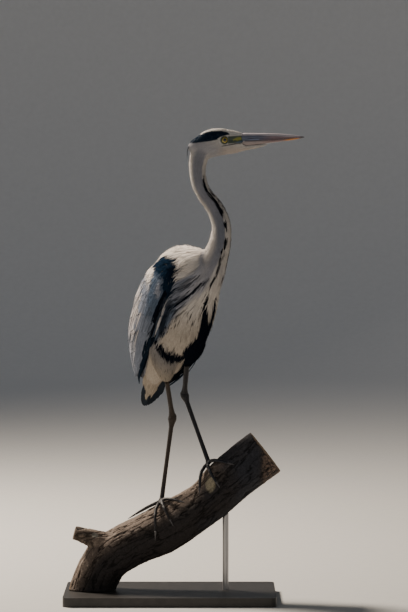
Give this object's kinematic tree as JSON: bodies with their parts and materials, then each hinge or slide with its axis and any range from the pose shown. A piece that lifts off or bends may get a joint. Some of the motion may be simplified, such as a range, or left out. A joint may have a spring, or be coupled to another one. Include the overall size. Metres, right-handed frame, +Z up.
{
  "type": "grey heron, a wading bird, on a branch perch and display stand",
  "caption": "Life-size grey heron with folded wings and raised S-curved neck, gripping a sloping cut branch held by a flat base and a rod.",
  "frame": {"origin": "centre of the underside of the stand's base, which rests on the floor", "axes": "+Z up, +X the way the bill points, -Y the side the breast is turned towards"},
  "size_m": [0.4631, 0.2703, 0.916],
  "materials": {
    "plumage": "soft matt feathers in slate grey, pale grey and white",
    "crest_plumes": "silky blue-black plumes",
    "flight_feathers": "smooth dark slate vanes",
    "bill": "semi-gloss horn, blue-grey above and pinkish below",
    "eye": "wet gloss, yellow iris and black pupil",
    "leg_skin": "dry scaled skin, dark brown-grey",
    "claws": "semi-gloss dark horn",
    "bark": "rough weathered bark",
    "stand_base": "satin black painted board",
    "stand_rod": "brushed steel rod"
  },
  "bodies": {
    "root": {"neck_lower": "plumage", "neck_middle": "plumage", "neck_upper": "plumage", "head": "plumage", "trunk": "plumage", "crest": "crest_plumes", "bill_upper": "bill", "bill_lower": "bill", "eye_left": "eye", "eye_right": "eye", "wing_right": "plumage", "primaries_right": "flight_feathers", "wing_left": "plumage", "primaries_left": "flight_feathers", "tail": "flight_feathers", "thigh_right": "plumage", "tibia_right": "leg_skin", "tarsus_right": "leg_skin", "foot_right": "leg_skin", "claw_right_hind": "claws", "claw_right_outer": "claws", "claw_right_middle": "claws", "claw_right_inner": "claws", "thigh_left": "plumage", "tibia_left": "leg_skin", "tarsus_left": "leg_skin", "foot_left": "leg_skin", "claw_left_hind": "claws", "claw_left_inner": "claws", "claw_left_middle": "claws", "claw_left_outer": "claws", "perch_branch": "bark", "stand_base": "stand_base", "stand_rod": "stand_rod"}
  },
  "joints": []
}
